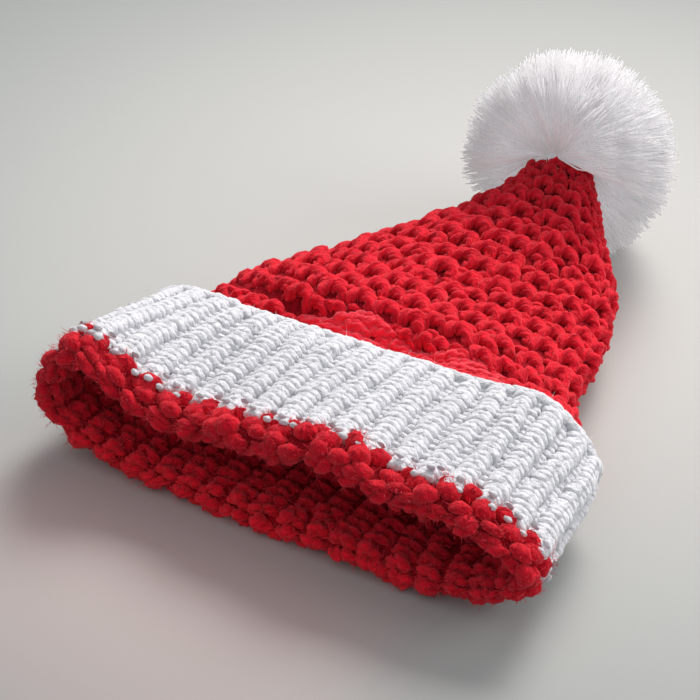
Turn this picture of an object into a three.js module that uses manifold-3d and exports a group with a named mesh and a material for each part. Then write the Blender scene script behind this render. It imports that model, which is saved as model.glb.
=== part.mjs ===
// A knitted santa hat lying on its side: a red crown that is knitted as one tapering tube and folded
// out at its mouth, a white ribbed cuff that is turned up over the crown from that fold, and a white
// yarn pompom that is tied to the gathered tip. Millimetres, +Z up, the mouth faces -Y.
import * as THREE from "three";
import { mergeVertices } from "three/addons/utils/BufferGeometryUtils.js";
import Module from "manifold-3d";

const wasm = await Module();
wasm.setup();

// The crown, from its mouth to its gathered tip, as it lies.
const CROWN_LENGTH = 262;
const MOUTH_WIDTH = 236;
const CROWN_HEIGHT = 44;
const CROWN_WALL = 5;
const MOUTH_SKEW = 0.06;
const MOUTH_LEAN = 4.5;

// The cuff, whose ribs are one knit and one purl stitch wide.
const CUFF_HEIGHT = 80;
const CUFF_WALL = 6;
const RIB_COUNT = 38;
const RIB_DEPTH = 1.6;

// The fold between the two, a red roll at the mouth.
const ROLL_DEPTH = 14;
const ROLL_NOSE = 6;

// The pompom, a ball of cut yarn that is parted round the tip of the crown.
const POMPOM_RADIUS = 51;
const POMPOM_HEIGHT = 49;
const LOCK_DEPTH = 6;
const PARTING_RADIUS = 16;
const PARTING_INNER_DEG = 30;
const PARTING_OUTER_DEG = 62;
const PARTING_RISE_DEG = 24;
const POMPOM_BEYOND_TIP = 6;
const POMPOM_BESIDE_TIP = -3.5;
const LOCK_DETAIL = 3;

// What meets keeps this gap.
const GAP = 0.5;

// How far the slack underside would hang below the surface that flattens it.
const UNDERSIDE_SAG = 2.5;

// Sections of the lying crown. along: share of CROWN_LENGTH. width: share of MOUTH_WIDTH.
// height: share of CROWN_HEIGHT. rise: 0 lies on the surface, 1 is at the pompom's middle.
// sway: sideways offset, a share of MOUTH_WIDTH.
const SECTIONS = [
  { along: 0.0, width: 0.982, height: 0.93, rise: 0.0, sway: 0.008 },
  { along: 0.12, width: 0.965, height: 0.93, rise: 0.0, sway: 0.001 },
  { along: 0.29, width: 0.916, height: 0.95, rise: 0.0, sway: -0.008 },
  { along: 0.45, width: 0.76, height: 1.02, rise: 0.0, sway: -0.046 },
  { along: 0.6, width: 0.652, height: 0.96, rise: 0.0, sway: -0.023 },
  { along: 0.75, width: 0.485, height: 0.9, rise: 0.14, sway: 0.004 },
  { along: 0.88, width: 0.265, height: 0.68, rise: 0.6, sway: 0.006 },
  { along: 0.96, width: 0.15, height: 0.5, rise: 0.92, sway: -0.008 },
  { along: 1.0, width: 0.07, height: 0.28, rise: 1.0, sway: -0.017 },
];

// Soft dents and swells of the upper side. along and reach_along: shares of CROWN_LENGTH.
// across and reach_across: shares of MOUTH_WIDTH. drop: share of CROWN_HEIGHT, negative swells.
const DENTS = [
  { along: 0.0, across: -0.44, reach_along: 0.16, reach_across: 0.065, drop: -0.44 },
  { along: 0.0, across: -0.19, reach_along: 0.13, reach_across: 0.1, drop: 0.24 },
  { along: 0.0, across: -0.01, reach_along: 0.16, reach_across: 0.06, drop: 0.09 },
  { along: 0.0, across: 0.23, reach_along: 0.1, reach_across: 0.05, drop: 0.1 },
  { along: 0.3, across: 0.36, reach_along: 0.13, reach_across: 0.06, drop: -0.2 },
  { along: 0.345, across: -0.2, reach_along: 0.036, reach_across: 0.13, drop: 0.3 },
  { along: 0.36, across: 0.04, reach_along: 0.04, reach_across: 0.1, drop: 0.26 },
  { along: 0.56, across: 0.1, reach_along: 0.1, reach_across: 0.1, drop: 0.08 },
];

// Roundness of the sections' ends: 2 is an ellipse, more is squarer.
const SQUARENESS = 2.3;

// The columns of facets round the crown and the cuff. The crown's are every other one of the cuff's.
const CUFF_COLUMNS = RIB_COUNT * 3;
const CROWN_COLUMNS = CUFF_COLUMNS / 2;

const smoothstep = (low, high, x) => THREE.MathUtils.smoothstep(x, low, high);

// A table's column at a place between its rows, on a cubic that passes through every row.
function column(table, name, at) {
  const last = table.length - 1;
  let i = 0;
  while (i < last - 1 && at > table[i + 1].along) i++;
  const slope = (k) => {
    const a = table[Math.max(k - 1, 0)];
    const b = table[Math.min(k + 1, last)];
    return (b[name] - a[name]) / (b.along - a.along);
  };
  const step = table[i + 1].along - table[i].along;
  const u = (at - table[i].along) / step;
  const start = (1 + 2 * u) * (1 - u) ** 2 * table[i][name];
  const end = u * u * (3 - 2 * u) * table[i + 1][name];
  const leave = u * (1 - u) ** 2 * step * slope(i);
  const arrive = u * u * (u - 1) * step * slope(i + 1);
  return start + end + leave + arrive;
}

// How high the crown's own underside lies: on the cuff's lower wall, and past it on the surface.
function restHeight(along) {
  const edge = CUFF_HEIGHT / CROWN_LENGTH;
  return (CUFF_WALL + GAP) * (1 - smoothstep(edge, edge + 0.09, along));
}

function dentDrop(along, across) {
  let drop = 0;
  for (const d of DENTS) {
    const a = (along - d.along) / d.reach_along;
    const b = (across - d.across) / d.reach_across;
    drop += d.drop * Math.exp(-(a * a + b * b) / 2);
  }
  return drop * CROWN_HEIGHT;
}

// A point of the crown's outside at an angle round the section, moved out by an offset.
function skinPoint(along, angle, offset) {
  const halfWidth = (column(SECTIONS, "width", along) * MOUTH_WIDTH) / 2;
  const halfHeight = (column(SECTIONS, "height", along) * CROWN_HEIGHT) / 2;
  const rise = column(SECTIONS, "rise", along);
  const sway = column(SECTIONS, "sway", along) * MOUTH_WIDTH;
  const bottom = restHeight(along);
  const middle = (1 - rise) * (bottom + halfHeight) + rise * POMPOM_HEIGHT;
  const round = (value) => Math.sign(value) * Math.abs(value) ** (2 / SQUARENESS);
  const across = round(Math.cos(angle));
  const up = round(Math.sin(angle));
  const x = sway + (halfWidth + offset) * across;
  const sag = up < 0 ? UNDERSIDE_SAG * (1 - rise) * up : 0;
  const top = smoothstep(-0.2, 0.8, up);
  const z = middle + (halfHeight + offset) * up + sag - top * dentDrop(along, x / MOUTH_WIDTH);
  const lean = (MOUTH_LEAN * (1 - along) ** 2 * (1 - up)) / 2;
  const y = along * CROWN_LENGTH + x * MOUTH_SKEW * (1 - along) - lean;
  return new THREE.Vector3(x, y, Math.max(z, bottom - offset));
}

// Angles that space a section's points evenly along its outline, from its right side round.
function evenAngles(along, count) {
  const fine = 720;
  const lengths = [0];
  let before = skinPoint(along, 0, 0);
  for (let i = 1; i <= fine; i++) {
    const point = skinPoint(along, (i / fine) * 2 * Math.PI, 0);
    lengths.push(lengths[i - 1] + point.distanceTo(before));
    before = point;
  }
  const angles = [];
  for (let k = 0, i = 0; k < count; k++) {
    const wanted = (k / count) * lengths[fine];
    while (lengths[i + 1] < wanted) i++;
    const part = (wanted - lengths[i]) / (lengths[i + 1] - lengths[i]);
    angles.push(((i + part) / fine) * 2 * Math.PI);
  }
  return angles;
}

// One ring of points round the crown. offsetAt gives each column's offset.
function ring(y, count, offsetAt) {
  const along = THREE.MathUtils.clamp(y / CROWN_LENGTH, 0, 1);
  const beyond = y - along * CROWN_LENGTH;
  return evenAngles(along, count).map((angle, k) => {
    const point = skinPoint(along, angle, offsetAt(k));
    point.y += beyond;
    return point;
  });
}

// A ring with a point added half way along each of its chords, so that it still lies along them.
function doubled(points) {
  return points.flatMap((p, k) => [p, p.clone().lerp(points[(k + 1) % points.length], 0.5)]);
}

// A closed body from rings of as many points each. With no poles the last ring meets the first.
function bodyFromRings(rings, poles = []) {
  const count = rings[0].length;
  const points = rings.flat();
  const faces = [];
  const at = (row, k) => (row % rings.length) * count + (k % count);
  const spans = poles.length ? rings.length - 1 : rings.length;
  for (let row = 0; row < spans; row++) {
    for (let k = 0; k < count; k++) {
      faces.push(at(row, k), at(row, k + 1), at(row + 1, k + 1));
      faces.push(at(row, k), at(row + 1, k + 1), at(row + 1, k));
    }
  }
  if (poles.length) {
    const first = points.length;
    points.push(...poles);
    for (let k = 0; k < count; k++) {
      faces.push(first, at(0, k + 1), at(0, k));
      faces.push(first + 1, at(rings.length - 1, k), at(rings.length - 1, k + 1));
    }
  }
  const geometry = new THREE.BufferGeometry();
  const positions = points.flatMap((p) => [p.x, p.y, p.z]);
  geometry.setAttribute("position", new THREE.Float32BufferAttribute(positions, 3));
  geometry.setIndex(faces);
  return geometry;
}

const centreOf = (points) =>
  points.reduce((sum, p) => sum.add(p), new THREE.Vector3()).divideScalar(points.length);

const evenly = (from, to, steps) =>
  Array.from({ length: steps + 1 }, (_, i) => from + ((to - from) * i) / steps);

function toSolid(geometry) {
  const bare = geometry.clone();
  bare.deleteAttribute("normal");
  bare.deleteAttribute("uv");
  const merged = mergeVertices(bare, 1e-4);
  return new wasm.Manifold(
    new wasm.Mesh({
      numProp: 3,
      vertProperties: merged.attributes.position.array,
      triVerts: new Uint32Array(merged.index.array),
    }),
  );
}

function toGeometry(solid) {
  const mesh = solid.getMesh();
  const geometry = new THREE.BufferGeometry();
  geometry.setAttribute("position", new THREE.BufferAttribute(mesh.vertProperties, 3));
  geometry.setIndex(new THREE.BufferAttribute(mesh.triVerts, 1));
  return geometry;
}

// Where the rings lie along the crown: on the part that shows, from the tip down to the cuff's
// edge, and on the part that the cuff covers.
const shown = evenly(CROWN_LENGTH, CUFF_HEIGHT, 18);
const covered = evenly(ROLL_DEPTH, CUFF_HEIGHT, 6);

// The crown: outside from the tip to the roll, round the roll's nose, and back along the inside.
function crownGeometry() {
  const same = (offset) => () => offset;
  const rollTop = CUFF_WALL + GAP;
  const insideRows = 11;
  const insideEnd = 0.93;
  const rings = [];
  for (const y of [...shown, ...covered.toReversed().slice(1)]) {
    rings.push(ring(y, CROWN_COLUMNS, same(0)));
  }
  rings.push(ring(ROLL_DEPTH, CROWN_COLUMNS, same(rollTop)));
  const noseSteps = 5;
  const noseMiddle = (rollTop - CROWN_WALL) / 2;
  const noseHalf = (rollTop + CROWN_WALL) / 2;
  for (const turn of evenly(Math.PI / 2, -Math.PI / 2, noseSteps)) {
    const y = ROLL_NOSE * (1 - Math.cos(turn));
    rings.push(ring(y, CROWN_COLUMNS, same(noseMiddle + noseHalf * Math.sin(turn))));
  }
  const inside = evenly(ROLL_NOSE, CROWN_LENGTH * insideEnd, insideRows).slice(1);
  for (const y of inside) {
    rings.push(ring(y, CROWN_COLUMNS, same(-CROWN_WALL)));
  }
  return bodyFromRings(rings, [centreOf(rings[0]), centreOf(rings[rings.length - 1])]);
}

// The cuff: a ribbed band round the crown, from the roll to its free edge.
function cuffGeometry() {
  const groove = (k) => (k % 3 === 0 ? RIB_DEPTH : 0);
  const outside = (k) => GAP + CUFF_WALL - groove(k);
  const inside = () => GAP;
  const shoulder = (k) => GAP + (CUFF_WALL - groove(k)) * 0.55;
  const inner = covered.with(0, ROLL_DEPTH + GAP);
  const outer = inner.with(-1, CUFF_HEIGHT - CUFF_WALL * 0.45).toReversed();
  const rings = [];
  for (const y of inner) {
    rings.push(doubled(ring(y, CROWN_COLUMNS, inside)));
  }
  rings.push(ring(CUFF_HEIGHT, CUFF_COLUMNS, shoulder));
  for (const y of outer) {
    rings.push(ring(y, CUFF_COLUMNS, outside));
  }
  return bodyFromRings(rings);
}

// The tip of the crown as a closed body that is larger by the gap, to cut its seat in the pompom.
function tipCutter() {
  const rings = [CROWN_LENGTH + GAP, ...shown.slice(1, 6)].map((y) =>
    ring(y, CROWN_COLUMNS, () => GAP),
  );
  return toSolid(bodyFromRings(rings, [centreOf(rings[0]), centreOf(rings[rings.length - 1])]));
}

// The pompom: a ball of locks whose tips and hollows alternate, parted where the tip comes in.
function pompomGeometry(middle) {
  const ball = new THREE.IcosahedronGeometry(1, LOCK_DETAIL).getAttribute("position");
  const rise = THREE.MathUtils.degToRad(PARTING_RISE_DEG);
  const parting = new THREE.Vector3(0, -Math.cos(rise), Math.sin(rise));
  const place = (direction, depth) => {
    const unit = direction.clone().normalize();
    const open = THREE.MathUtils.radToDeg(unit.angleTo(parting));
    const full = smoothstep(PARTING_INNER_DEG, PARTING_OUTER_DEG, open);
    const radius = PARTING_RADIUS + (POMPOM_RADIUS - depth - PARTING_RADIUS) * full;
    const point = unit.multiplyScalar(radius).add(middle);
    point.z = Math.max(point.z, 0);
    return point;
  };
  const positions = [];
  for (let i = 0; i < ball.count; i += 3) {
    const corners = [0, 1, 2].map((k) => new THREE.Vector3().fromBufferAttribute(ball, i + k));
    const hollow = place(corners[0].clone().add(corners[1]).add(corners[2]), LOCK_DEPTH);
    for (let k = 0; k < 3; k++) {
      const a = corners[k];
      const b = corners[(k + 1) % 3];
      const between = place(a.clone().add(b), LOCK_DEPTH * 0.55);
      for (const p of [place(a, 0), between, hollow, between, place(b, 0), hollow]) {
        positions.push(p.x, p.y, p.z);
      }
    }
  }
  const geometry = new THREE.BufferGeometry();
  geometry.setAttribute("position", new THREE.Float32BufferAttribute(positions, 3));
  return toGeometry(toSolid(geometry).subtract(tipCutter()));
}

function piece(name, geometry, color) {
  const material = new THREE.MeshStandardMaterial({ color, roughness: 0.95, metalness: 0 });
  const mesh = new THREE.Mesh(geometry, material);
  mesh.name = name;
  return mesh;
}

const tip = skinPoint(1, 0, 0);
const pompomMiddle = new THREE.Vector3(
  SECTIONS[SECTIONS.length - 1].sway * MOUTH_WIDTH + POMPOM_BESIDE_TIP,
  tip.y + POMPOM_BEYOND_TIP,
  POMPOM_HEIGHT,
);

const hat = new THREE.Group();
hat.add(piece("crown", crownGeometry(), "#c0202c"));
hat.add(piece("cuff", cuffGeometry(), "#e4e4e8"));
hat.add(piece("pompom", pompomGeometry(pompomMiddle), "#e2e2e6"));

// The origin is the middle of the hat's footprint, on the surface that it lies on.
const size = new THREE.Box3().setFromObject(hat, true);
const middle = size.getCenter(new THREE.Vector3());
hat.position.set(-middle.x, -middle.y, -size.min.z);

export default hat;
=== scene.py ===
# A knitted santa hat lying flat on a pale floor: red crown, white ribbed cuff, white pompom.
# The hat's lengths are in millimetres, up to build(), which makes them metres.
import math

import bpy
import numpy as np
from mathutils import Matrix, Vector, kdtree


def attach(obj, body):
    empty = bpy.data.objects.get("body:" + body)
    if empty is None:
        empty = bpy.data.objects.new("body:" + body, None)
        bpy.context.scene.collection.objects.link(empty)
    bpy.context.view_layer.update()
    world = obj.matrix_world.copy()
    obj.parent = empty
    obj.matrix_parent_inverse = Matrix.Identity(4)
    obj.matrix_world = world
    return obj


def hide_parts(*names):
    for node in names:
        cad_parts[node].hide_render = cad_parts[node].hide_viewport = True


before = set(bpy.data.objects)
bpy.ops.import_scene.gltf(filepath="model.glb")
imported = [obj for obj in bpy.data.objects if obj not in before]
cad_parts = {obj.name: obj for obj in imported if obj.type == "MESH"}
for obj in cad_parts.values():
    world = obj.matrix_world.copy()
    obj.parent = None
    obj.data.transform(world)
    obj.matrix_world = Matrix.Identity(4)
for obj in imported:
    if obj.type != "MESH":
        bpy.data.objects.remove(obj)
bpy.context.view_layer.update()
bpy.ops.object.select_all(action="DESELECT")

# --- Camera -------------------------------------------------------------------------------------
# The hat is seen from the mouth's side, a little from its right and from above. The long lens
# stands 0.9 m away, so the pompom at the far end looks hardly smaller than it is.

LENS_MM = 102.86
CAMERA_AWAY = 0.9
CAMERA_TURN = math.radians(34)
CAMERA_RISE = math.radians(36)
LOOK_AT = Vector((-0.02257, -0.06279, 0.03))

towards_camera = Vector(
    (
        math.sin(CAMERA_TURN) * math.cos(CAMERA_RISE),
        -math.cos(CAMERA_TURN) * math.cos(CAMERA_RISE),
        math.sin(CAMERA_RISE),
    )
)
bpy.ops.object.camera_add(location=LOOK_AT + towards_camera * CAMERA_AWAY)
camera = bpy.context.object
camera.data.lens = LENS_MM
camera.data.sensor_width = 36
camera.data.clip_start = 0.01
camera.rotation_euler = (-towards_camera).to_track_quat("-Z", "Y").to_euler()
bpy.context.scene.camera = camera

# --- Floor and light ----------------------------------------------------------------------------
# A seamless sheet of pale paper, painted darker outwards: painted shade where the lamps' light
# falls off.
# A wide soft box behind the hat, a smaller one at its right and the white room light it. A small
# red light under the mouth stands for what the lit red knit throws back on the floor.

FLOOR_SIZE = 12
PALE_MIDDLE = (-0.02, 0.1, 0)
PALE_REACH = 0.05
DARK_REACH = 0.55
ROOM_WHITE = "#e9eff2"
ROOM_STRENGTH = 0.66


def colour(hex_code):
    """An sRGB hex colour as linear RGBA."""
    parts = [int(hex_code[i : i + 2], 16) / 255 for i in (1, 3, 5)]
    return [p / 12.92 if p <= 0.04045 else ((p + 0.055) / 1.055) ** 2.4 for p in parts] + [1]


def add_node(material, kind, links=(), **settings):
    """Adds a shader node. links are (input, node, output), settings its properties or inputs."""
    made = material.node_tree.nodes.new(kind)
    for name, value in settings.items():
        if hasattr(made, name):
            setattr(made, name, value)
        else:
            made.inputs[name.replace("_", " ").title()].default_value = value
    for socket, other, output in links:
        material.node_tree.links.new(other.outputs[output], made.inputs[socket])
    return made


def new_material(name):
    """A new material and the shader that it starts with."""
    material = bpy.data.materials.new(name)
    material.use_nodes = True
    return material, material.node_tree.nodes["Principled BSDF"]


# Uncoated paper, painted darker away from the pompom as painted shade, where lamplight falls
# off. Its rough fibres scatter the light evenly, so it shows soft shadows and next to no gloss.
paper, paper_shader = new_material("matte_paper_painted_falloff")
where = add_node(paper, "ShaderNodeTexCoord")
away = add_node(paper, "ShaderNodeVectorMath", [(0, where, "Object")], operation="DISTANCE")
away.inputs[1].default_value = PALE_MIDDLE
darker = add_node(
    paper,
    "ShaderNodeMapRange",
    [("Value", away, "Value")],
    interpolation_type="SMOOTHSTEP",
    from_min=PALE_REACH,
    from_max=DARK_REACH,
)
# Painted shade: pale near the pompom, darker further out, as the lamps' light falls off.
painted_falloff_tone = add_node(paper, "ShaderNodeMix", [("Factor", darker, "Result")], data_type="RGBA")
painted_falloff_tone.inputs[6].default_value = colour("#b2b1af")
painted_falloff_tone.inputs[7].default_value = colour("#828685")
paper.node_tree.links.new(painted_falloff_tone.outputs[2], paper_shader.inputs["Base Color"])
paper_shader.inputs["Roughness"].default_value = 0.9
paper_shader.inputs["Specular IOR Level"].default_value = 0.2
bpy.ops.mesh.primitive_plane_add(size=FLOOR_SIZE, location=(0, 0, 0))
floor = bpy.context.object
floor.name = "floor"
floor.data.materials.append(paper)


def soft_box(name, place, target, width, height, watts, tint, spread=180):
    """A flat light that faces a point on the floor. spread is its beam's angle in degrees."""
    bpy.ops.object.light_add(type="AREA", location=place)
    light = bpy.context.object
    light.name = name
    light.data.shape = "RECTANGLE"
    light.data.size = width
    light.data.size_y = height
    light.data.energy = watts
    light.data.color = colour(tint)[:3]
    light.data.spread = math.radians(spread)
    light.rotation_euler = (Vector(target) - Vector(place)).to_track_quat("-Z", "Y").to_euler()
    light.visible_camera = False


soft_box(
    "back_light",
    place=(-0.1, 1.75, 1.55),
    target=(0.22, 0.1, 0),
    width=2.6,
    height=1.0,
    watts=13,
    tint="#fffaf6",
    spread=42,
)
soft_box(
    "side_light",
    place=(1.25, 0.75, 0.85),
    target=(0.08, -0.02, 0),
    width=1.2,
    height=0.8,
    watts=4.5,
    tint="#fffdfb",
    spread=110,
)
soft_box(
    "red_bounce",
    place=(-0.02, -0.235, 0.03),
    target=(-0.02, -0.235, 0),
    width=0.2,
    height=0.12,
    watts=0.022,
    tint="#ff2a30",
)

world = bpy.data.worlds.new("white_room")
bpy.context.scene.world = world
world.use_nodes = True
world.node_tree.nodes["Background"].inputs["Color"].default_value = colour(ROOM_WHITE)
world.node_tree.nodes["Background"].inputs["Strength"].default_value = ROOM_STRENGTH
bpy.context.scene.view_settings.view_transform = "Standard"
bpy.context.scene.cycles.diffuse_bounces = 10

# --- Crown, outside -----------------------------------------------------------------------------
# Thick red acrylic yarn, knitted by hand as one tapering tube. Plump loops stand in rounds about
# 12 mm apart, each curled about a small dark hole, with a short link between it and the next, and
# stitches are knitted together towards the gathered tip.

# The tube's sizes, as in the part's source.
CROWN_LENGTH = 262
MOUTH_WIDTH = 236
CROWN_HEIGHT = 44
MOUTH_SKEW = 0.06
MOUTH_LEAN = 4.5
UNDERSIDE_SAG = 2.5
SQUARENESS = 2.3
CUFF_HEIGHT = 80
CUFF_WALL = 6
GAP = 0.5
POMPOM_HEIGHT = 49
RIBS = 38

# Where the middle of the mouth lies in the part's frame.
MOUTH_MIDDLE = np.array((-1.571, -154.788, 0.0))

# Shares of CROWN_LENGTH, MOUTH_WIDTH and CROWN_HEIGHT, as in the part's source.
WIDTH, HEIGHT, RISE, SWAY = 1, 2, 3, 4
SECTIONS = np.array(
    [
        # along, width, height, rise, sway
        (0.0, 0.982, 0.93, 0.0, 0.008),
        (0.12, 0.965, 0.93, 0.0, 0.001),
        (0.29, 0.916, 0.95, 0.0, -0.008),
        (0.45, 0.76, 1.02, 0.0, -0.046),
        (0.6, 0.652, 0.96, 0.0, -0.023),
        (0.75, 0.485, 0.9, 0.14, 0.004),
        (0.88, 0.265, 0.68, 0.6, 0.006),
        (0.96, 0.15, 0.5, 0.92, -0.008),
        (1.0, 0.07, 0.28, 1.0, -0.017),
    ]
)
DENTS = [
    # along, across, reach along, reach across, drop
    (0.0, -0.44, 0.16, 0.065, -0.44),
    (0.0, -0.19, 0.13, 0.1, 0.24),
    (0.0, -0.01, 0.16, 0.06, 0.09),
    (0.0, 0.23, 0.1, 0.05, 0.1),
    (0.3, 0.36, 0.13, 0.06, -0.2),
    (0.345, -0.2, 0.036, 0.13, 0.3),
    (0.36, 0.04, 0.04, 0.1, 0.26),
    (0.56, 0.1, 0.1, 0.1, 0.08),
]
CUFF_STEP = 0.09  # how far past the cuff the crown comes down to the floor, as a share of it


def smoothstep(low, high, x):
    """0 below low, 1 above high, and a smooth slope between them."""
    t = np.clip((x - low) / (high - low), 0, 1)
    return t * t * (3 - 2 * t)


def crown_size(column, at):
    """A column of SECTIONS at a place between its rows, on a cubic through every row."""
    place, value = SECTIONS[:, 0], SECTIONS[:, column]
    i = np.clip(np.searchsorted(place, at) - 1, 0, len(place) - 2)
    row = np.arange(len(place))
    before, after = np.maximum(row - 1, 0), np.minimum(row + 1, len(place) - 1)
    slope = (value[after] - value[before]) / (place[after] - place[before])
    step = place[i + 1] - place[i]
    u = (at - place[i]) / step
    return (
        (1 + 2 * u) * (1 - u) ** 2 * value[i]
        + u * u * (3 - 2 * u) * value[i + 1]
        + u * (1 - u) ** 2 * step * slope[i]
        + u * u * (u - 1) * step * slope[i + 1]
    )


def crown_skin(along, angle, out):
    """Points of the crown's outside, moved out of it by a number of millimetres."""
    half_width = crown_size(WIDTH, along) * MOUTH_WIDTH / 2
    half_height = crown_size(HEIGHT, along) * CROWN_HEIGHT / 2
    rise = crown_size(RISE, along)
    sway = crown_size(SWAY, along) * MOUTH_WIDTH
    edge = CUFF_HEIGHT / CROWN_LENGTH
    bottom = (CUFF_WALL + GAP) * (1 - smoothstep(edge, edge + CUFF_STEP, along))
    middle = (1 - rise) * (bottom + half_height) + rise * POMPOM_HEIGHT
    across = np.sign(np.cos(angle)) * np.abs(np.cos(angle)) ** (2 / SQUARENESS)
    up = np.sign(np.sin(angle)) * np.abs(np.sin(angle)) ** (2 / SQUARENESS)
    x = sway + (half_width + out) * across
    drop = 0
    for d_along, d_across, reach_along, reach_across, depth in DENTS:
        a = (along - d_along) / reach_along
        b = (x / MOUTH_WIDTH - d_across) / reach_across
        drop = drop + depth * CROWN_HEIGHT * np.exp(-(a * a + b * b) / 2)
    sag = np.where(up < 0, UNDERSIDE_SAG * (1 - rise) * up, 0)
    z = middle + (half_height + out) * up + sag - smoothstep(-0.2, 0.8, up) * drop
    lean = MOUTH_LEAN * (1 - along) ** 2 * (1 - up) / 2
    y = along * CROWN_LENGTH + x * MOUTH_SKEW * (1 - along) - lean
    return np.stack((x, y, np.maximum(z, bottom - out)), -1)


RING_POINTS = 721
SHEET_COLUMNS = RIBS * 6


def even_ring(y, out, count):
    """A ring round the crown at a distance from the mouth, its points evenly spaced."""
    along = min(max(y / CROWN_LENGTH, 0), 1)
    fine = np.linspace(0, 2 * np.pi, RING_POINTS)
    line = crown_skin(np.full(RING_POINTS, along), fine, 0)
    length = np.concatenate(([0], np.cumsum(np.linalg.norm(np.diff(line, axis=0), axis=1))))
    angle = np.interp(np.arange(count) / count * length[-1], length, fine)
    points = crown_skin(np.full(count, along), angle, out)
    points[:, 1] += y - along * CROWN_LENGTH
    return points + MOUTH_MIDDLE


def knit_sheet(profile, side):
    """The sheet that stitches are laid on, from rows of (distance from the mouth, height). side is
    1 where the rows run from the mouth to the tip on the outside, and -1 where they run inside."""
    points = np.array([even_ring(y, out, SHEET_COLUMNS) for y, out in profile])
    across = (np.roll(points, -1, 1) - np.roll(points, 1, 1)) / 2
    down = np.gradient(points, axis=0)
    normal = np.cross(down, across) * side
    for _ in range(3):
        normal = normal + (np.roll(normal, 1, 1) + np.roll(normal, -1, 1)) / 2
        normal[1:-1] += (normal[2:] + normal[:-2]) / 2
    normal /= np.linalg.norm(normal, axis=-1, keepdims=True)
    step = np.linalg.norm(np.diff(points, axis=0), axis=-1).mean(1)
    length = np.concatenate(([0], np.cumsum(step)))
    pitch = np.linalg.norm(across, axis=-1).mean(1) * SHEET_COLUMNS / RIBS
    return {"points": points, "normal": normal, "length": length, "pitch": pitch}


def lay(sheet, rib, down, out):
    """Places on a sheet, from a rib number, a length down the sheet and a height out of it."""
    points, normal = sheet["points"], sheet["normal"]
    rows, columns = points.shape[:2]
    r = np.interp(down, sheet["length"], np.arange(rows))
    r0 = np.minimum(r.astype(int), rows - 2)
    fr = (r - r0)[..., None]
    c = (rib / RIBS * columns) % columns
    c0 = c.astype(int) % columns
    c1 = (c0 + 1) % columns
    fc = (c - np.floor(c))[..., None]

    def blend(grid):
        near = grid[r0, c0] * (1 - fc) + grid[r0, c1] * fc
        far = grid[r0 + 1, c0] * (1 - fc) + grid[r0 + 1, c1] * fc
        return near * (1 - fr) + far * fr

    return blend(points) + blend(normal) * out[..., None]


def select_only(mesh, points=None, edges=None):
    """Selects only the given points or edges of a mesh, for the next step in edit mode."""
    for kind in (mesh.vertices, mesh.edges, mesh.polygons):
        kind.foreach_set("select", np.zeros(len(kind), bool))
    if points is not None:
        mesh.vertices.foreach_set("select", points)
    if edges is not None:
        mesh.edges.foreach_set("select", edges)
    bpy.context.tool_settings.mesh_select_mode = (edges is None, edges is not None, False)


def edit(operator, **settings):
    """Runs one operator in edit mode on what is selected."""
    bpy.ops.object.mode_set(mode="EDIT")
    operator(**settings)
    bpy.ops.object.mode_set(mode="OBJECT")


def points_of(mesh):
    """A mesh's points as an array."""
    points = np.zeros(len(mesh.vertices) * 3)
    mesh.vertices.foreach_get("co", points)
    return points.reshape(-1, 3)


def long_edges(mesh, axis, least):
    """Which edges of a mesh run further along an axis than a given length."""
    ends = np.array([e.vertices[:] for e in mesh.edges])
    return np.abs(np.diff(points_of(mesh)[ends, axis], axis=1))[:, 0] > least


SOFTLY = {"use_proportional_edit": True, "proportional_edit_falloff": "SMOOTH"}
GROOVE = 0.62  # how deep the grooves between plies lie, as a share of the yarn's radius


def yarn_length(length, thick, sides, rings, ends=0.5, middle=1.2, turns=0.0):
    """A straight length of yarn along X: cut into rings so that it can bend, drawn in at its two
    ends and fuller in the middle. Yarn with turns is spun from plies, and every third of its
    sides is a groove between two of them that winds round it."""
    bpy.ops.object.select_all(action="DESELECT")
    bpy.ops.mesh.primitive_cylinder_add(
        vertices=sides, radius=thick / 2, depth=length, rotation=(0, math.pi / 2, 0)
    )
    strand = bpy.context.object
    bpy.ops.object.transform_apply(location=False, rotation=True, scale=False)
    mesh = strand.data
    if turns:
        points = points_of(mesh)
        corner = np.round(np.arctan2(points[:, 2], points[:, 1]) / (2 * np.pi / sides)).astype(int)
        select_only(mesh, points=corner % 3 == 0)
        edit(bpy.ops.transform.resize, value=(1, GROOVE, GROOVE), center_override=(0, 0, 0))
    select_only(mesh, edges=long_edges(mesh, 0, length / 2))
    edit(bpy.ops.mesh.subdivide, number_cuts=rings - 1)
    select_only(mesh, points=np.abs(points_of(mesh)[:, 0]) > length / 2 - 0.01)
    edit(bpy.ops.transform.resize, value=(1, ends, ends))
    select_only(mesh, points=np.abs(points_of(mesh)[:, 0]) < length / rings * 0.6)
    edit(
        bpy.ops.transform.resize,
        value=(1, middle, middle),
        proportional_size=length * 0.45,
        **SOFTLY,
    )
    if turns:
        twist = strand.modifiers.new("twist", "SIMPLE_DEFORM")
        twist.deform_method = "TWIST"
        twist.deform_axis = "X"
        twist.angle = turns * 2 * math.pi
        bpy.ops.object.modifier_apply(modifier="twist")
    return strand


FOOT = 1.6  # how much of an arch's height counts as its feet


def arch(strand, degrees, sink):
    """Bends a length of yarn into an arch that points to +Y, and sinks its two feet."""
    bend = strand.modifiers.new("bend", "SIMPLE_DEFORM")
    bend.deform_method = "BEND"
    bend.deform_axis = "Z"
    bend.angle = -math.radians(degrees)
    bpy.ops.object.modifier_apply(modifier="bend")
    points = points_of(strand.data)
    select_only(strand.data, points=points[:, 1] < points[:, 1].min() + FOOT)
    edit(
        bpy.ops.transform.translate,
        value=(0, 0, -sink),
        proportional_size=np.abs(points[:, 0]).max() * 1.1,
        **SOFTLY,
    )
    return strand


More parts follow.
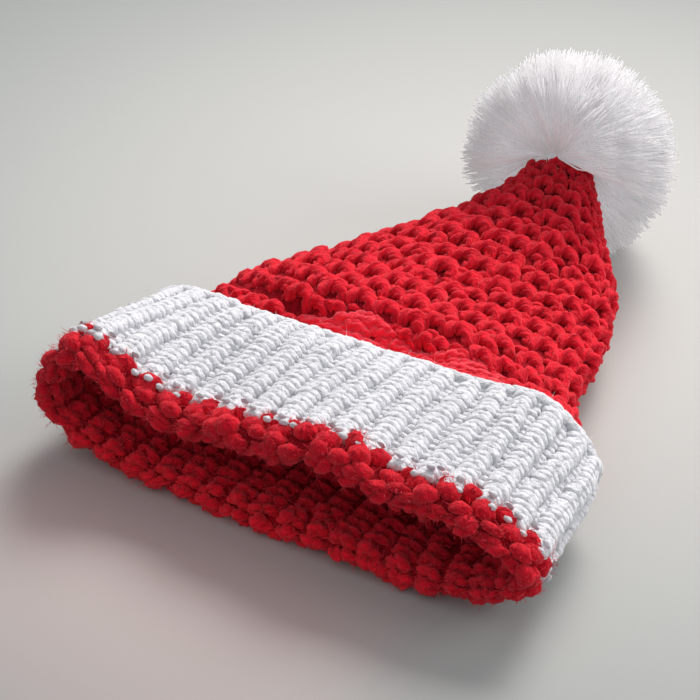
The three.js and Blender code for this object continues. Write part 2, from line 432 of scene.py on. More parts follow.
def take(model, around, along):
    """A finished model as arrays: points, the corners of its faces, how many each face has, and
    their places on the yarn in millimetres. around and along are the size of its whole map, of
    which the sides of Blender's cylinder fill half. The model itself is used up."""
    mesh = model.data
    corners = np.zeros(len(mesh.loops), int)
    mesh.loops.foreach_get("vertex_index", corners)
    sizes = np.zeros(len(mesh.polygons), int)
    mesh.polygons.foreach_get("loop_total", sizes)
    places = np.zeros(len(mesh.loops) * 2)
    mesh.uv_layers.active.data.foreach_get("uv", places)
    points = points_of(mesh)
    bpy.data.objects.remove(model)
    return points, corners, sizes, places.reshape(-1, 2) * (around, along)


chance = np.random.default_rng(12)
MAP_SHIFT = 90  # how far apart two stitches may lie on the yarn's pattern


def repeated(shape, placed):
    """One shape's faces for every copy, whose points are already in place."""
    points, corners, sizes, places = shape
    count = len(placed)
    all_corners = corners[None] + (np.arange(count) * len(points))[:, None]
    shifts = chance.random((count, 1, 2)) * MAP_SHIFT
    return (
        placed.reshape(-1, 3),
        all_corners.ravel(),
        np.tile(sizes, count),
        (places[None] + shifts).reshape(-1, 2),
    )


MOUTH_ROUND = MOUTH_WIDTH * 2.06  # all round the mouth, with its two side folds
RIB_PITCH = MOUTH_ROUND / RIBS
UNEVEN_SIZE = 0.06
UNEVEN_TURN = 0.1  # radians
UNEVEN_RIB = 0.05  # ribs
UNEVEN_PLACE = 0.35


def stitches(sheet, shape, ribs, downs, spans=1.0, lift=0.0, loose=1.0, relief=1.0, rough=0.12):
    """Copies of one stitch laid on a sheet, each a little different, as hand and yarn make them.
    spans is how many ribs one stitch takes up, loose how much one differs from the next, relief
    how far it stands out, and rough how uneven the yarn is."""
    points = shape[0]
    count = len(ribs)
    spans = np.broadcast_to(spans, count)[:, None]
    relief = np.broadcast_to(relief, count)[:, None]
    lift = np.broadcast_to(lift, count)[:, None]
    pitch = np.interp(downs, sheet["length"], sheet["pitch"])[:, None] * spans
    size = np.clip(pitch / RIB_PITCH, 0.3, 1.1) ** 0.5
    size = size * (1 + UNEVEN_SIZE * loose * chance.standard_normal((count, 1)))
    turn = UNEVEN_TURN * loose * chance.standard_normal((count, 1))
    x = points[:, 0] * np.cos(turn) - points[:, 1] * np.sin(turn)
    y = points[:, 0] * np.sin(turn) + points[:, 1] * np.cos(turn)
    drift = UNEVEN_RIB * loose * chance.standard_normal((count, 1))
    rib = ribs[:, None] + (x / RIB_PITCH + drift) * spans
    down = downs[:, None] + y * size + UNEVEN_PLACE * loose * chance.standard_normal((count, 1))
    height = lift + UNEVEN_PLACE * loose * chance.standard_normal((count, 1))
    placed = lay(sheet, rib, down, (points[:, 2] * relief + height) * size)
    return repeated(shape, placed + rough * chance.standard_normal(placed.shape))


PRESSED = 1.5  # how near the floor the underside's stitches are flattened


def build(name, parts, material):
    """One piece of the hat from its parts. What would reach the floor is pressed on it."""
    points = np.concatenate([p[0] for p in parts])
    low = points[:, 2] < PRESSED
    points[low, 2] = PRESSED * np.exp((points[low, 2] - PRESSED) / PRESSED)
    shifts = np.cumsum([0] + [len(p[0]) for p in parts[:-1]])
    corners = np.concatenate([p[1] + s for p, s in zip(parts, shifts)])
    sizes = np.concatenate([p[2] for p in parts])
    places = np.concatenate([p[3] for p in parts])
    mesh = bpy.data.meshes.new(name)
    mesh.vertices.add(len(points))
    mesh.vertices.foreach_set("co", (points / 1000).ravel())
    mesh.loops.add(len(corners))
    mesh.loops.foreach_set("vertex_index", corners)
    mesh.polygons.add(len(sizes))
    mesh.polygons.foreach_set("loop_start", np.concatenate(([0], np.cumsum(sizes)[:-1])))
    mesh.update(calc_edges=True)
    layer = mesh.uv_layers.new(name="along_yarn")
    layer.data.foreach_set("uv", places.ravel())
    mesh.polygons.foreach_set("use_smooth", np.ones(len(sizes), bool))
    mesh.materials.append(material)
    piece = bpy.data.objects.new(name, mesh)
    bpy.context.collection.objects.link(piece)
    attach(piece, "root")
    return piece


# Acrylic fibre is 0.02 mm thick, too fine to show, so its streaks are drawn 1.5 mm wide and 6 mm
# long, slanting as the twist of the plies does, and its clumps of fluff 2.4 mm across.
STREAK_WIDE = 1.5
STREAK_LONG = 6
PLY_SLANT = 0.45  # radians
CLUMP = 2.38
FLUFF_DEEP = 1.8


def yarn_material(name, base, groove, halo, glow):
    """Spun acrylic, whose streaks darken towards the groove's colour: partly the yarn's own uneven
    tone, partly painted shade between its fibres and plies. A halo of loose fibre catches the light
    at its edge, as strongly as glow says."""
    material, shader = new_material(name)
    places = add_node(material, "ShaderNodeUVMap", uv_map="along_yarn")
    slanted = add_node(
        material,
        "ShaderNodeMapping",
        [("Vector", places, "UV")],
        rotation=(0, 0, PLY_SLANT),
        scale=(1 / STREAK_WIDE, 1 / STREAK_LONG, 1),
    )
    streaks = add_node(
        material,
        "ShaderNodeTexNoise",
        [("Vector", slanted, "Vector")],
        scale=1,
        detail=4,
        roughness=0.7,
    )
    where = add_node(material, "ShaderNodeTexCoord")
    clumps = add_node(
        material, "ShaderNodeTexNoise", [("Vector", where, "Object")], scale=1000 / CLUMP, detail=3
    )
    contrast = add_node(
        material, "ShaderNodeMapRange", [("Value", streaks, "Fac")], from_min=0.35, from_max=0.65
    )
    shade = add_node(material, "ShaderNodeMix", [("Factor", contrast, "Result")], data_type="RGBA")
    shade.inputs[6].default_value = colour(groove)
    shade.inputs[7].default_value = colour(base)
    fluff = add_node(
        material, "ShaderNodeMath", [(0, streaks, "Fac"), (1, clumps, "Fac")], operation="ADD"
    )
    relief = add_node(
        material,
        "ShaderNodeBump",
        [("Height", fluff, "Value")],
        strength=0.8,
        distance=FLUFF_DEEP / 1000,
    )
    material.node_tree.links.new(shade.outputs[2], shader.inputs["Base Color"])
    material.node_tree.links.new(relief.outputs["Normal"], shader.inputs["Normal"])
    shader.inputs["Roughness"].default_value = 0.95
    shader.inputs["Specular IOR Level"].default_value = 0.15
    shader.inputs["Sheen Weight"].default_value = glow
    shader.inputs["Sheen Roughness"].default_value = 0.5
    shader.inputs["Sheen Tint"].default_value = colour(halo)
    return material


# Thick acrylic yarn, spun and dyed a bright red: dull all over, with paler, pinker edges where its
# loose fibre catches the light.
red_yarn = yarn_material("red_acrylic_yarn", "#ea142e", "#b0081c", "#ff6a70", glow=0.7)

LOOP_ROUND = 12.0  # from one round of loops to the next
LOOP_WIDTH = 12.2
LEAST_WIDTH = 10.4
TIP_SHRINK = 0.36  # how much smaller the loops are at the gathered tip
CUFF_EDGE = 60  # how far from the mouth the knit starts, under the cuff's free edge
outside = knit_sheet([(y, 0) for y in np.linspace(CUFF_EDGE, CROWN_LENGTH, 110)], 1)


def loop(length, thick, sides, rings, degrees, sink, waist, turns):
    """A fat loop of yarn, open towards -Y, whose two feet draw together and sink into the cloth."""
    strand = arch(yarn_length(length, thick, sides, rings, 0.65, 1.1, turns), degrees, sink)
    height = points_of(strand.data)[:, 1]
    select_only(strand.data, points=height < height.min() + 2.5)
    edit(
        bpy.ops.transform.resize,
        value=(waist, 1, 1),
        center_override=(0, 0, 0),
        proportional_size=length * 0.25,
        **SOFTLY,
    )
    edit(bpy.ops.mesh.select_all, action="SELECT")
    edit(bpy.ops.transform.resize, value=(1, 1.15, 1), center_override=(0, 0, 0))
    return strand


plump_loop = take(loop(22.0, 6.6, 9, 11, 205, sink=2.2, waist=0.85, turns=1.0), 16, 40)
link = take(arch(yarn_length(9.0, 3.8, 6, 4), 50, sink=0.8), 10, 17)


def rounds(sheet, first, last):
    """Ribs and lengths of the loops, how many ribs each takes up and how large it is. Where the
    hat narrows, a round of stitches is knitted together so that each loop keeps its width."""
    ribs, downs, spans, sizes = [], [], [], []
    count = RIBS
    down = first
    while down < last:
        around = np.interp(down, sheet["length"], sheet["pitch"]) * RIBS
        size = 1 - TIP_SHRINK * smoothstep(0.7, 0.9, down / sheet["length"][-1])
        if around / count < LEAST_WIDTH * size:
            count = max(int(around / (LOOP_WIDTH * size)), 6)
        for i in range(count):
            ribs.append((i + 0.5) * RIBS / count + RIBS * 0.25)
            downs.append(down)
            spans.append(RIBS / count)
            sizes.append(size)
        down += LOOP_ROUND * size
    return np.array(ribs), np.array(downs), np.array(spans), np.array(sizes)


BOW = 12


def bowed(sheet, ribs, downs):
    """The rounds of a cone that is laid flat bow towards the tip at its two sides."""
    share = downs / sheet["length"][-1]
    rise = BOW * smoothstep(0.02, 0.35, share) * (1 - smoothstep(0.55, 1.05, share))
    return downs + rise * (1 - np.cos(4 * np.pi * (ribs / RIBS - 0.25))) / 2


def wander(ribs, downs, amount):
    """A slow drift of whole groups of stitches, as in cloth that has been worn and laid down: up
    to a third of a rib sideways and 3 mm along."""
    turn = ribs / RIBS * 2 * np.pi
    sideways = 0.16 * np.sin(5 * turn + downs / 17) + 0.14 * np.sin(9 * turn - downs / 11 + 2)
    lengthways = 1.6 * np.sin(4 * turn + downs / 31 + 1) + 1.2 * np.sin(11 * turn + downs / 23 + 4)
    return ribs + amount * sideways, downs + amount * lengthways


# The pressed band on the crown's upper side, along the cuff.
BAND_LEFT = 8
BAND_HALF_WIDTH = 46
BAND_DEPTH = 42
BAND_FADE = 18


def near_fold(ribs, downs):
    """1 in the pressed band where the crown goes in under the cuff, and 0 away from it."""
    across = ((ribs / RIBS - 0.25 + 0.5) % 1 - 0.5) * MOUTH_ROUND
    sideways = np.abs(across + BAND_LEFT)
    edge = BAND_DEPTH + 4 * np.sin(across / 9)
    along = smoothstep(edge + 14, edge + 2, downs)
    return smoothstep(BAND_HALF_WIDTH + BAND_FADE, BAND_HALF_WIDTH, sideways) * along


ribs, downs, spans, loop_sizes = rounds(outside, 3, outside["length"][-1] - 2)
downs = bowed(outside, ribs, downs)
ribs, downs = wander(ribs, downs, 1.0)
downs = np.minimum(downs, outside["length"][-1] - 3)
pressed = near_fold(ribs, downs)
low = downs < 52
link_downs = downs + 2.2 * loop_sizes
lowered = -1.5 - 1.8 * pressed
flattened = 1 - 0.6 * pressed
crown_knit = build(
    "crown_knit",
    [
        stitches(outside, plump_loop, ribs, downs, spans, lowered, loose=1.8, relief=flattened),
        stitches(outside, link, ribs + spans / 2, link_downs, spans, -1.5 - pressed, loose=1.8),
        stitches(outside, link, ribs[low], downs[low] - 6.0, spans[low], lift=-2.2, loose=1.8),
    ],
    red_yarn,
)
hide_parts("crown")

# --- Crown, pressed band ------------------------------------------------------------------------
# Along the cuff's edge the cloth is pulled flat over a fold, and the same red yarn runs there in
# long floats side by side, sunk between the loops.

FLOAT_RIBS = np.arange(0, 14, 0.9)
FLOAT_ROWS = np.arange(13, 56, 2.0)

# The same red yarn, painted paler and pinker where the band lies flat and faces the light: a
# painted highlight, a lit copy of the red yarn.
lit_band_yarn = yarn_material("red_acrylic_painted_highlight", "#ff2b45", "#e8132c", "#ff9096", glow=1.0)

float_yarn = take(arch(yarn_length(17.0, 4.0, 9, 9, 0.5, 1.1, 0.8), 35, sink=0.9), 13, 34)
ribs, downs = np.meshgrid(FLOAT_RIBS, FLOAT_ROWS)
ribs = (ribs + 1.6 + 0.45 * (np.arange(len(downs)) % 2)[:, None]).ravel()
downs = downs.ravel()
laid_flat = near_fold(ribs, downs) > 0.35
ribs, downs = ribs[laid_flat], downs[laid_flat]
band_lift = -1.9 + 1.5 * near_fold(ribs, downs)
pressed_floats = build(
    "pressed_floats",
    [stitches(outside, float_yarn, ribs, downs, 1, band_lift, loose=1.2, relief=0.6, rough=0.08)],
    lit_band_yarn,
)

# --- Crown, roll and inside ---------------------------------------------------------------------
# At the mouth the tube folds out in a thick red roll of purl bumps, where it turns back as the
# cuff. Its inside shows the back of the knit, in columns that run up into the dark.

CROWN_WALL = 5
ROLL_DEPTH = 14
ROLL_NOSE = 6
ROLL_ROWS = 4
ROLL_ROW = 5.2
LUMP = (5.2, 4.1, 4.0)  # half its length round the roll, its width and its height
LUMP_UNEVEN = 0.85
COLUMN_ROW = 6.2
COLUMN_START = 21.6
COLUMN_ROWS = 6
DEEP_ROWS = 8
COLUMN_LEG = {"reach": 4.2, "rise": 2.6, "drop": 2.2, "length": 8.4}
INSIDE_END = 0.86 * CROWN_LENGTH
RIM = CUFF_WALL + GAP


def over_nose(steps, nearer=0.0, lower=0.0):
    """A profile over the roll, drawn in by some millimetres at its nose and at its two sides."""
    return [
        (
            nearer + (ROLL_NOSE - nearer) * (1 - math.cos(turn)),
            (RIM - CROWN_WALL) / 2 + ((RIM + CROWN_WALL) / 2 - lower) * math.sin(turn),
        )
        for turn in np.linspace(np.pi / 2, -np.pi / 2, steps)[1:]
    ]


profile = [(y, RIM) for y in np.linspace(ROLL_DEPTH + 3, ROLL_NOSE, 8)]
profile += over_nose(14)
profile += [(y, -CROWN_WALL) for y in np.linspace(ROLL_NOSE, INSIDE_END, 90)[1:]]
inside = knit_sheet(profile, -1)


def tuft(seed):
    """A puffed ball of yarn, uneven all over, as one thick purl bump looks from its end. Its faces
    are sorted, because the sphere gives them in another order each run."""
    bpy.ops.object.select_all(action="DESELECT")
    bpy.ops.mesh.primitive_uv_sphere_add(segments=12, ring_count=8, radius=1, scale=LUMP)
    ball = bpy.context.object
    bpy.ops.object.transform_apply(location=False, rotation=False, scale=True)
    select_only(ball.data, points=np.ones(len(ball.data.vertices), bool))
    edit(bpy.ops.transform.vertex_random, offset=LUMP_UNEVEN, seed=seed)
    edit(bpy.ops.mesh.sort_elements, type="CURSOR_DISTANCE", elements={"FACE"})
    return ball


# Neighbours in a row are two different lumps, and each row is set half a lump beside the last.
roll_stitches = []
for row in range(ROLL_ROWS):
    for other in range(2):
        ribs = np.arange(other, RIBS, 2) + 0.5 * (row % 2)
        downs = np.full(len(ribs), 3.2 + row * ROLL_ROW)
        lump = take(tuft(2 * row + other + 1), 30, 15)
        roll_stitches.append(stitches(inside, lump, ribs, downs, lift=-2.2, loose=2.4))


def leg(side, reach, rise, drop, length, thick, sides, rings, turns=0.0):
    """One of the two slanting halves of a knit stitch, its low end out at the side."""
    strand = yarn_length(length, thick, sides, rings, 0.6, 1.2, turns)
    tilt = math.atan2(-drop * side, reach)
    slant = math.atan2(-rise * side, reach)
    edit(bpy.ops.mesh.select_all, action="SELECT")
    edit(bpy.ops.transform.rotate, value=tilt, orient_axis="Y", center_override=(0, 0, 0))
    edit(bpy.ops.transform.rotate, value=-slant, orient_axis="Z", center_override=(0, 0, 0))
    edit(bpy.ops.transform.translate, value=(side * reach * 0.62, 0, 0))
    return strand


def all_round(rows):
    """The rib numbers and row numbers of rows of stitches, one to a rib."""
    row, rib = np.meshgrid(rows, np.arange(RIBS) + 0.5, indexing="ij")
    return rib.ravel(), row.ravel()


left_leg = take(leg(-1, thick=5.6, sides=9, rings=5, turns=0.5, **COLUMN_LEG), 17, 17)
right_leg = take(leg(1, thick=5.6, sides=9, rings=5, turns=-0.5, **COLUMN_LEG), 17, 17)
ribs, rows = all_round(np.arange(COLUMN_ROWS))
downs = COLUMN_START + rows * COLUMN_ROW
columns = [
    stitches(inside, left_leg, ribs, downs, lift=-1.2, loose=1.5),
    stitches(inside, right_leg, ribs, downs, lift=-1.2, loose=1.5),
]

# Further in, where it is dark, the same stitches are plainer.
deep_left = take(leg(-1, thick=5.2, sides=6, rings=3, **COLUMN_LEG), 17, 17)
deep_right = take(leg(1, thick=5.2, sides=6, rings=3, **COLUMN_LEG), 17, 17)
ribs, rows = all_round(np.arange(DEEP_ROWS) + COLUMN_ROWS)
downs = COLUMN_START + rows * COLUMN_ROW
columns += [
    stitches(inside, deep_left, ribs, downs, lift=-1.2),
    stitches(inside, deep_right, ribs, downs, lift=-1.2),
]
crown_inside = build("crown_inside", roll_stitches + columns, red_yarn)

# --- Crown, ground ------------------------------------------------------------------------------
# Behind the red stitches lies the cloth's ground, the yarn of its other side, painted dark as the
# shade in the holes it closes. It is one tube through the crown, the roll and inside.

GROUND_RINGS = RIBS * 3
GROUND_DEEP = 3.3
GROUND_TIP = 2.5  # how much deeper it lies at the gathered tip

# The red yarn deep in the cloth: painted shade, darker, with hardly any halo.
shaded_red_ground = yarn_material("red_acrylic_painted_shade", "#a0081c", "#780412", "#c02030", glow=0.3)


def tube(rings, closed):
    """A tube of cloth through rings of points. closed joins the last ring to the first, and
    otherwise both ends are shut."""
    rings = np.array(rings)
    rows, columns = rings.shape[:2]
    i, k = np.meshgrid(np.arange(rows if closed else rows - 1), np.arange(columns), indexing="ij")
    n, j = (k + 1) % columns, (i + 1) % rows
    corners = np.stack((i * columns + k, j * columns + k, j * columns + n, i * columns + n), -1)
    corners = corners.reshape(-1)
    sizes = np.full(len(corners) // 4, 4)
    places = np.stack((k, i, k, i + 1, k + 1, i + 1, k + 1, i), -1).reshape(-1, 2) * 2.0
    points = rings.reshape(-1, 3)
    if not closed:
        points = np.concatenate((points, rings[:1].mean(1), rings[-1:].mean(1)))
        k = np.arange(columns)
        n = (k + 1) % columns
        end = (rows - 1) * columns
        first = np.stack((np.full(columns, rows * columns), k, n), -1)
        last = np.stack((np.full(columns, rows * columns + 1), n + end, k + end), -1)
        corners = np.concatenate((corners, first.reshape(-1), last.reshape(-1)))
        sizes = np.concatenate((sizes, np.full(columns * 2, 3)))
        places = np.concatenate((places, np.zeros((columns * 6, 2))))
    return points, corners, sizes, places


ground_ribs = np.arange(GROUND_RINGS) / 3
ground = []
for y in np.linspace(CROWN_LENGTH, ROLL_DEPTH, 60):
    raised = near_fold(ground_ribs, np.maximum(y - 58, 0)) * (y > 66)
    ground.append((y, -GROUND_DEEP - GROUND_TIP * smoothstep(236, 262, y) + 2.4 * raised))
ground += [(y, RIM - 2.6) for y in np.linspace(ROLL_DEPTH, ROLL_NOSE, 5)]
ground += over_nose(10, nearer=2.4, lower=2.3)
ground += [(y, -4.1) for y in np.linspace(ROLL_NOSE + 2, INSIDE_END, 40)]
crown_ground = build(
    "crown_ground",
    [tube([even_ring(y, out, GROUND_RINGS) for y, out in ground], closed=False)],
    shaded_red_ground,
)

# --- Cuff ---------------------------------------------------------------------------------------
# A band of white one and one rib, turned up over the crown from the roll: plump ribs of knit
# stitches with the purl stitches sunk between them, and a bound-off free edge.

CUFF_ROW = 3.05
RIB_TOP = GAP + CUFF_WALL - 1.5
FREE_EDGE = CUFF_HEIGHT - 4
CUFF_START = ROLL_DEPTH - 3
RIB_LEG = {"reach": 3.3, "rise": 2.2, "drop": 1.0, "length": 7.0}

# The same yarn undyed, a little thinner: a soft cool white, whose fibres light each other up.
white_yarn = yarn_material("white_acrylic_yarn", "#d8d7dc", "#cfced5", "#ffffff", glow=0.7)

profile = [(y, RIB_TOP) for y in np.linspace(ROLL_DEPTH - 2, FREE_EDGE, 34)]
for turn in np.linspace(0, np.pi, 8)[1:]:
    profile.append((FREE_EDGE + 2.5 * math.sin(turn), GAP + 2.6 + 2.4 * math.cos(turn)))
cuff_sheet = knit_sheet(profile, 1)
ribs, rows = all_round(np.arange(int((CUFF_HEIGHT - ROLL_DEPTH) / CUFF_ROW)))
ribs, downs = wander(ribs, (rows + 0.6) * CUFF_ROW, 0.35)
left_leg = take(leg(-1, thick=4.6, sides=6, rings=4, **RIB_LEG), 10, 13)
right_leg = take(leg(1, thick=4.6, sides=6, rings=4, **RIB_LEG), 10, 13)
purl = take(arch(yarn_length(6.8, 3.5, 6, 3), 60, sink=0.6), 8, 12)
edge = take(yarn_length(8.0, 5.2, 8, 5, ends=0.5, middle=1.15), 14, 19)
edge_ribs = np.arange(RIBS * 2) / 2 + 0.25
edge_down = np.full(RIBS * 2, CUFF_HEIGHT - ROLL_DEPTH - 0.5)
cuff_knit = build(
    "cuff_knit",
    [
        stitches(cuff_sheet, left_leg, ribs, downs, lift=-0.4, loose=0.5),
        stitches(cuff_sheet, right_leg, ribs, downs, lift=-0.4, loose=0.5),
        stitches(cuff_sheet, purl, ribs - 0.5, downs, lift=-1.6, loose=0.6),
        stitches(cuff_sheet, edge, edge_ribs, edge_down, lift=-0.6, loose=0.7),
        stitches(cuff_sheet, edge, edge_ribs + 0.25, edge_down + 3.1, lift=-0.6, loose=0.7),
    ],
    white_yarn,
)
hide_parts("cuff")

# The felted ground behind the ribs, with the band's plain inner side.
ground = [(y, RIB_TOP - 1.9) for y in np.linspace(CUFF_START, FREE_EDGE, 30)]
ground += [(y, GAP + 0.8) for y in np.linspace(FREE_EDGE, CUFF_START, 20)]
cuff_ground = build(
    "cuff_ground",
    [tube([even_ring(y, out, RIBS * 4) for y, out in ground[::-1]], closed=True)],
    white_yarn,
)

# --- Joining stitches ---------------------------------------------------------------------------
# Where the cuff's first rows were picked up along the roll, short white purl bumps of its yarn
# show between the red lumps on the upper side of the mouth.

TOP_RIBS = np.arange(-2, 22)
JOIN_ROWS = (1.0, -1.2, 6.2, 6.4)
JOIN_SHOWN = (1.0, 1.0, 0.6, 0.6)

ribs = np.concatenate((TOP_RIBS + 0.5, TOP_RIBS, TOP_RIBS + 0.25, TOP_RIBS + 0.75))
downs = np.repeat(JOIN_ROWS, len(TOP_RIBS))
shown = chance.random(len(ribs)) < np.repeat(JOIN_SHOWN, len(TOP_RIBS))
dot = take(yarn_length(3.2, 2.3, 6, 3, ends=0.6, middle=1.2), 10, 8)
join_stitches = build(
    "join_stitches",
    [stitches(inside, dot, ribs[shown] % RIBS, downs[shown], lift=1.5, loose=1.6)],
    white_yarn,
)

# --- Pompom -------------------------------------------------------------------------------------
# A ball of cut white yarn, tied in its middle to the crown's tip and trimmed round. The yarn is
# combed out into fine strands, which part round the tip and lie close to it.

POMPOM_RADIUS = 51
TIE_FORWARD = 17
YARN_ENDS = 1850
STRANDS_A_YARN = 8
STRAND_THICK = 0.85
TIP_CLEAR = 1.5
PARTING_RISE = math.radians(24)
PARTING_OPEN = 44  # degrees between the parting's middle and the first strands
BEND = 0.19
SPLAY = 0.045
POMPOM_ASIDE = -0.017 * MOUTH_WIDTH - 3.5
PAST_TIP = 6
POMPOM_MIDDLE = MOUTH_MIDDLE + (POMPOM_ASIDE, CROWN_LENGTH + PAST_TIP, POMPOM_HEIGHT)
PARTING = np.array((0, -math.cos(PARTING_RISE), math.sin(PARTING_RISE)))

# Acrylic yarn cut short and combed open: a bright white, because light goes through its thin
# strands and is scattered between them. The glow stands for what bounces deep in the fluff.
cut_yarn = yarn_material("cut_acrylic_yarn", "#fcfbfc", "#d2d1d8", "#ffffff", glow=0.5)
cut_shader = cut_yarn.node_tree.nodes["Principled BSDF"]
cut_shader.inputs["Emission Color"].default_value = colour("#f8f5f6")
cut_shader.inputs["Emission Strength"].default_value = 0.3
through = add_node(cut_yarn, "ShaderNodeBsdfTranslucent", Color=colour("#fcfbfc"))
both = add_node(
    cut_yarn, "ShaderNodeMixShader", [(1, cut_shader, "BSDF"), (2, through, "BSDF")], fac=0.55
)
surface = cut_yarn.node_tree.nodes["Material Output"].inputs["Surface"]
cut_yarn.node_tree.links.new(both.outputs[0], surface)


def from_crown(points, clear):
    """How points lie to the crown's tapering end: their offsets from its middle line, and those as
    a share of its half width and height, which is under 1 inside."""
    local = points - MOUTH_MIDDLE
    along = np.clip(local[..., 1] / CROWN_LENGTH, 0, 1)
    half_width = crown_size(WIDTH, along) * MOUTH_WIDTH / 2 + clear
    half_height = crown_size(HEIGHT, along) * CROWN_HEIGHT / 2 + clear
    rise = crown_size(RISE, along)
    middle = (1 - rise) * half_height + rise * POMPOM_HEIGHT
    x = local[..., 0] - crown_size(SWAY, along) * MOUTH_WIDTH
    z = local[..., 2] - middle
    share = np.abs(x / half_width) ** SQUARENESS + np.abs(z / half_height) ** SQUARENESS
    share = share ** (1 / SQUARENESS)
    return x, z, np.where(local[..., 1] < CROWN_LENGTH + clear, share, 2)


def round_crown(points, clear):
    """The points, with those that lie in the crown moved out to its flank."""
    x, z, share = from_crown(points, clear)
    push = np.where(share < 1, 1 / np.maximum(share, 0.08) - 1, 0)
    return points + np.stack((x * push, np.zeros_like(x), z * push), -1)


def unit(ways):
    """Directions, each one long."""
    return ways / np.linalg.norm(ways, axis=1, keepdims=True)


def off_parting(ways):
    """How many degrees directions lie off the parting's middle."""
    return np.degrees(np.arccos(np.clip(ways @ PARTING, -1, 1)))


# Each yarn end leaves the middle its own way, and its strands splay a little round it.
way = unit(chance.standard_normal((YARN_ENDS * 2, 3)))
way = way[off_parting(way) > PARTING_OPEN + 4 * chance.standard_normal(len(way))][:YARN_ENDS]
reach = POMPOM_RADIUS * (0.97 + 0.08 * chance.standard_normal(len(way)).clip(-2.4, 0.8))
bend = BEND * chance.standard_normal((len(way), 3))
way, reach, bend = (np.repeat(a, STRANDS_A_YARN, 0) for a in (way, reach, bend))
splay = SPLAY * chance.standard_normal((len(way), 3))
reach = reach * (1 + 0.02 * chance.standard_normal(len(way)))
way = unit(way + bend + splay)

# A strand starts at the tie, bulges towards the parting and ends on the trimmed ball.
facing = ((1 + way @ PARTING) / 2)[:, None]
tie = POMPOM_MIDDLE + PARTING * TIE_FORWARD * smoothstep(0.35, 0.7, facing)
bulge = unit(way + PARTING * 0.7 * facing - 0.6 * bend)
bulge = POMPOM_MIDDLE + bulge * (reach * 0.66)[:, None]
far_end = POMPOM_MIDDLE + way * reach[:, None]


def on_strand(s):
    """The strands' places at a share of their length."""
    return tie * (1 - s) ** 2 + bulge * 2 * s * (1 - s) + far_end * s * s


# Strands that would cross over the crown's tip are left out, and the others go round it.
paths = np.stack([on_strand(s) for s in (0.1, 0.55, 1.0)], 1)
x, z, share = from_crown(paths, TIP_CLEAR)
pushed = np.linalg.norm(round_crown(paths, TIP_CLEAR) - paths, axis=2)
over_tip = ((share < 1.3) & (z > 0.05 * np.abs(x)))[:, 1:].any(1)
x, z, near = from_crown(tie * 0.42 + bulge * 0.46 + far_end * 0.12, TIP_CLEAR)
over_tip |= (near < 1.0) & (z > -0.2 * np.abs(x))
over_tip |= off_parting(way) < PARTING_OPEN - 1
paths = round_crown(paths[(share[:, 2] > 1) & ~over_tip & (pushed[:, 1] < 9)], TIP_CLEAR)


def along_paths(shape, paths, thick):
    """Copies of a strand that runs from z 0 to 1, each bent along its own path."""
    points = shape[0]
    count, rows = paths.shape[:2]
    tangent = np.gradient(paths, axis=1)
    tangent /= np.linalg.norm(tangent, axis=2, keepdims=True)
    beside = np.cross(tangent, chance.standard_normal((count, 1, 3)))
    beside /= np.linalg.norm(beside, axis=2, keepdims=True)
    over = np.cross(tangent, beside)
    at = np.rint(points[:, 2] * (rows - 1)).astype(int)
    ring = beside[:, at] * points[:, 0, None] + over[:, at] * points[:, 1, None]
    return repeated(shape, paths[:, at] + ring * thick)


def thin_strand(rings, end):
    """A three-sided strand up Z, one long and one thick, drawn in at its outer end."""
    bpy.ops.object.select_all(action="DESELECT")
    bpy.ops.mesh.primitive_cone_add(
        vertices=3, radius1=0.5, radius2=0.5 * end, depth=1, location=(0, 0, 0.5)
    )
    strand = bpy.context.object
    bpy.ops.object.transform_apply(location=True, rotation=False, scale=False)
    if rings > 1:
        select_only(strand.data, edges=long_edges(strand.data, 2, 0.5))
        edit(bpy.ops.mesh.subdivide, number_cuts=rings - 1)
    return strand


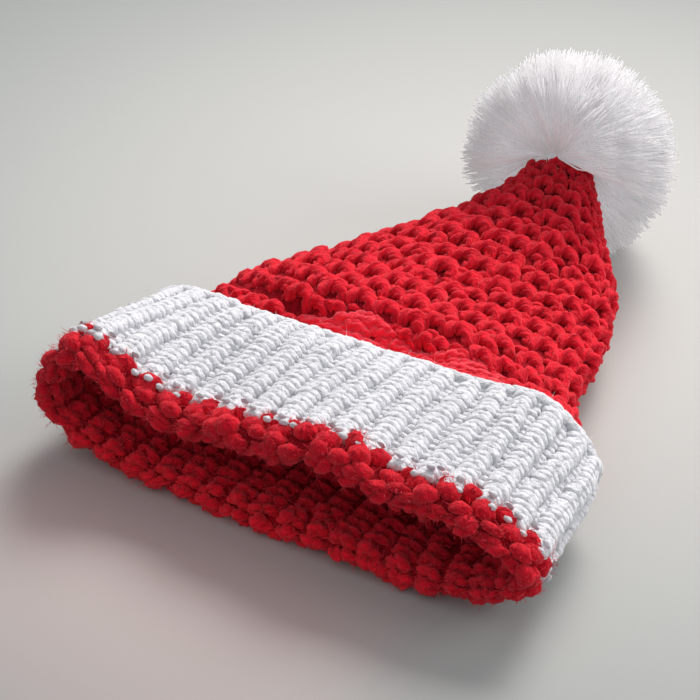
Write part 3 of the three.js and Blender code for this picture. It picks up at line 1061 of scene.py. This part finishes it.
# The tied core, where the strands stand too close to be told apart, hollowed round the tip.
strand = take(thin_strand(2, 0.6), 2, 40)
bpy.ops.object.select_all(action="DESELECT")
bpy.ops.mesh.primitive_ico_sphere_add(subdivisions=4, radius=1)
points, corners, sizes, places = take(bpy.context.object, 1, 1)
full = 0.2 + 0.36 * smoothstep(24, 62, off_parting(points))
core_reach = np.zeros(len(points))
for share in np.linspace(0.02, 0.9, 45):
    _, _, outside_tip = from_crown(POMPOM_MIDDLE + points * POMPOM_RADIUS * share, 1.0)
    free = (outside_tip > 1) & (share <= full)
    core_reach = np.where(free & (core_reach >= share - 0.021), share, core_reach)
core = POMPOM_MIDDLE + points * (POMPOM_RADIUS * np.maximum(core_reach, 0.03))[:, None]
pompom_yarn = build(
    "pompom_yarn",
    [along_paths(strand, paths, STRAND_THICK), (core, corners, sizes, places * 0)],
    cut_yarn,
)
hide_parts("pompom")

# --- Loose fibre --------------------------------------------------------------------------------
# Spun acrylic sheds a halo of fine fibre all over, 2 to 4 mm long. Real fibre is 0.02 mm thick,
# too fine to show, so each one here is 0.3 mm thick at its root.

FIBRE_THICK = 0.3

# Single red fibres, painted brighter and pinker than their yarn, for the light through them.
red_fuzz = yarn_material("loose_red_acrylic", "#f8283e", "#e01a30", "#ff8088", glow=0.8)

fibre = take(thin_strand(1, 0.0), 1, 1)


def loose_fibre(name, piece, sheet, count, length, material):
    """Fibres that stand off the stitches of a piece, most of them lying over."""
    mesh = piece.data
    at = points_of(mesh) * 1000
    out = np.zeros(len(mesh.vertices) * 3)
    mesh.vertices.foreach_get("normal", out)
    out = out.reshape(-1, 3)
    cloth = sheet["points"][::3, ::3].reshape(-1, 3)
    cloth_out = sheet["normal"][::3, ::3].reshape(-1, 3)
    near = kdtree.KDTree(len(cloth))
    for i, place in enumerate(cloth):
        near.insert(place, i)
    near.balance()
    nearest = np.array([near.find(place)[1] for place in at])
    seen = ((cloth_out[nearest] * out).sum(1) > 0.1) & (out[:, 2] > -0.6) & (at[:, 2] > 3)
    chosen = chance.choice(np.flatnonzero(seen), count)
    at, out = at[chosen], out[chosen]
    way = unit(out + 0.8 * chance.standard_normal((count, 3)))
    start = at - out * 0.3 + 0.7 * chance.standard_normal((count, 3))
    size = length * np.exp(0.35 * chance.standard_normal(count))
    paths = np.stack((start, start + way * size[:, None]), 1)
    return build(name, [along_paths(fibre, paths, FIBRE_THICK)], material)


loose_fibre("crown_fibre", crown_knit, outside, 38000, 3.0, red_fuzz)
loose_fibre("roll_fibre", crown_inside, inside, 18000, 2.8, red_fuzz)
loose_fibre("cuff_fibre", cuff_knit, cuff_sheet, 30000, 2.8, white_yarn)
